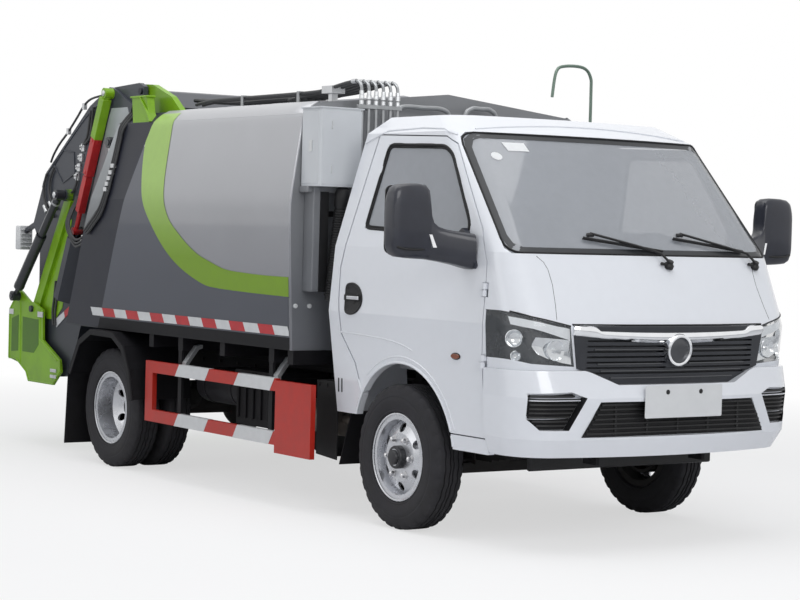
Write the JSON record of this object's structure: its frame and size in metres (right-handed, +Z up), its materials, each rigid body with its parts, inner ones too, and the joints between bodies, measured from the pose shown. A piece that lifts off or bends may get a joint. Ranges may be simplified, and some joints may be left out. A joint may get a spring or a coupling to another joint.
{
  "type": "rear-loading refuse compactor truck",
  "caption": "Small forward-control truck with a closed refuse body, a lifting tailgate with packer and hopper, and a tipping loading bucket at the rear.",
  "frame": {"origin": "on the ground, below the middle of the whole truck's box", "axes": "+X forward, +Y to the truck's left, +Z up"},
  "size_m": [5.92, 2.66, 2.54],
  "materials": {
    "cab_white": "glossy white paint",
    "glass": "clear, slightly tinted",
    "black_plastic": "fine grain",
    "chrome_trim": "bright",
    "lamp": "clear lens over bright reflector",
    "bumper_white": "glossy white",
    "interior": "grained",
    "tyre": "worn black rubber",
    "rim_silver": "satin silver paint",
    "chassis_black": "satin black paint",
    "cast": "rough",
    "tank": "brushed",
    "rubber_flap": "matt",
    "guard_paint": "red and white reflective bands",
    "body_silver": "silver-grey paint",
    "dark_grey": "satin dark grey paint",
    "pipe_steel": "zinc grey",
    "green": "leaf green paint",
    "steel": "worn bare steel",
    "strut_red": "red paint",
    "rod_chrome": "polished rod"
  },
  "bodies": {
    "truck": {"front_axle_and_springs": "cast", "rear_axle_and_springs": "cast", "chassis_frame": "chassis_black", "powertrain": "cast", "fuel_tank": "tank", "battery_box": "chassis_black", "exhaust_silencer": "steel", "cab_shell": "cab_white", "cab_glass": "glass", "headlights": "lamp", "front_grille": "chrome_trim", "front_bumper": "bumper_white", "cab_interior": "interior", "mudguards": "rubber_flap", "side_guards": "guard_paint", "body_subframe": "chassis_black", "refuse_body": "body_silver", "body_rear_frame": "dark_grey", "body_front_equipment": "pipe_steel"},
    "knuckle_left": {"steering_knuckle_left": "cast"},
    "knuckle_right": {"steering_knuckle_right": "cast"},
    "wheel_front_left": {"front_rim_left": "rim_silver", "front_tyre_left": "tyre"},
    "wheel_front_right": {"front_rim_right": "rim_silver", "front_tyre_right": "tyre"},
    "wheels_rear_left": {"rear_rims_left": "rim_silver", "rear_tyres_left": "tyre"},
    "wheels_rear_right": {"rear_rims_right": "rim_silver", "rear_tyres_right": "tyre"},
    "door_left": {"door_left": "cab_white", "door_glass_left": "glass", "mirror_left": "black_plastic"},
    "door_right": {"door_right": "cab_white", "door_glass_right": "glass", "mirror_right": "black_plastic"},
    "tailgate": {"tailgate_shell": "dark_grey", "hopper_tub": "green", "slide_cylinders": "strut_red"},
    "packer_slide": {"packer_slide": "steel"},
    "sweep": {"sweep_panel": "steel"},
    "bucket": {"loading_bucket": "green"},
    "lift_barrels": {"lift_barrels": "dark_grey"},
    "lift_rods": {"lift_rods": "rod_chrome"},
    "bucket_barrels": {"bucket_barrels": "dark_grey"},
    "bucket_rods": {"bucket_rods": "rod_chrome"}
  },
  "joints": [
    {"name": "steer_left", "type": "hinge", "parent": "truck", "child": "knuckle_left", "pos_m": [1.785, 0.672, 0.375], "axis": [0, 0, 1], "range_deg": [-35, 35]},
    {"name": "wheel_front_left_spin", "type": "hinge", "parent": "knuckle_left", "child": "wheel_front_left", "pos_m": [1.785, 0.815, 0.375], "axis": [0, 1, 0], "continuous": true},
    {"name": "wheels_rear_left_spin", "type": "hinge", "parent": "truck", "child": "wheels_rear_left", "pos_m": [-1.275, 0.806, 0.375], "axis": [0, 1, 0], "continuous": true},
    {"name": "door_left_hinge", "type": "hinge", "parent": "truck", "child": "door_left", "pos_m": [2.507, 0.903, 1.1], "axis": [0, 0, -1], "range_deg": [0, 70]},
    {"name": "steer_right", "type": "hinge", "parent": "truck", "child": "knuckle_right", "pos_m": [1.785, -0.672, 0.375], "axis": [0, 0, 1], "range_deg": [-35, 35]},
    {"name": "wheel_front_right_spin", "type": "hinge", "parent": "knuckle_right", "child": "wheel_front_right", "pos_m": [1.785, -0.815, 0.375], "axis": [0, 1, 0], "continuous": true},
    {"name": "wheels_rear_right_spin", "type": "hinge", "parent": "truck", "child": "wheels_rear_right", "pos_m": [-1.275, -0.806, 0.375], "axis": [0, 1, 0], "continuous": true},
    {"name": "door_right_hinge", "type": "hinge", "parent": "truck", "child": "door_right", "pos_m": [2.507, -0.903, 1.1], "axis": [0, 0, 1], "range_deg": [0, 70]},
    {"name": "tailgate_lift", "type": "hinge", "parent": "truck", "child": "tailgate", "pos_m": [-1.175, 0, 2.372], "axis": [0, 1, 0], "range_deg": [0, 80]},
    {"name": "bucket_tip", "type": "hinge", "parent": "tailgate", "child": "bucket", "pos_m": [-2.585, 0, 0.94], "axis": [0, 1, 0], "range_deg": [0, 85]},
    {"name": "packer_slide_travel", "type": "slide", "parent": "tailgate", "child": "packer_slide", "axis": [-0.4226, 0, -0.9063], "range_m": [0, 0.45]},
    {"name": "sweep_turn", "type": "hinge", "parent": "packer_slide", "child": "sweep", "pos_m": [-2.03, 0, 1.308], "axis": [0, 1, 0], "range_deg": [0, 95]},
    {"name": "lift_cylinder_swing", "type": "hinge", "parent": "truck", "child": "lift_barrels", "pos_m": [-1.635, 0, 1.06], "axis": [0, 1, 0], "range_deg": [-8.46, 0]},
    {"name": "lift_rod_slide", "type": "slide", "parent": "lift_barrels", "child": "lift_rods", "axis": [0.2028, 0, 0.9792], "range_m": [0, 0.5024]},
    {"name": "bucket_cylinder_swing", "type": "hinge", "parent": "tailgate", "child": "bucket_barrels", "pos_m": [-2.115, 0, 1.716], "axis": [0, 1, 0], "range_deg": [-8.82, 0]},
    {"name": "bucket_rod_slide", "type": "slide", "parent": "bucket_barrels", "child": "bucket_rods", "axis": [-0.6935, 0, -0.7204], "range_m": [-0.2684, 0]}
  ],
  "couplings": [
    {"joint": "steer_right", "follows": "steer_left", "ratio": 1},
    {"joint": "lift_cylinder_swing", "follows": "tailgate_lift", "ratio": -0.09945},
    {"joint": "lift_rod_slide", "follows": "tailgate_lift", "m_per_rad": 0.35769},
    {"joint": "bucket_cylinder_swing", "follows": "bucket_tip", "ratio": -0.09791},
    {"joint": "bucket_rod_slide", "follows": "bucket_tip", "m_per_rad": -0.17892}
  ]
}
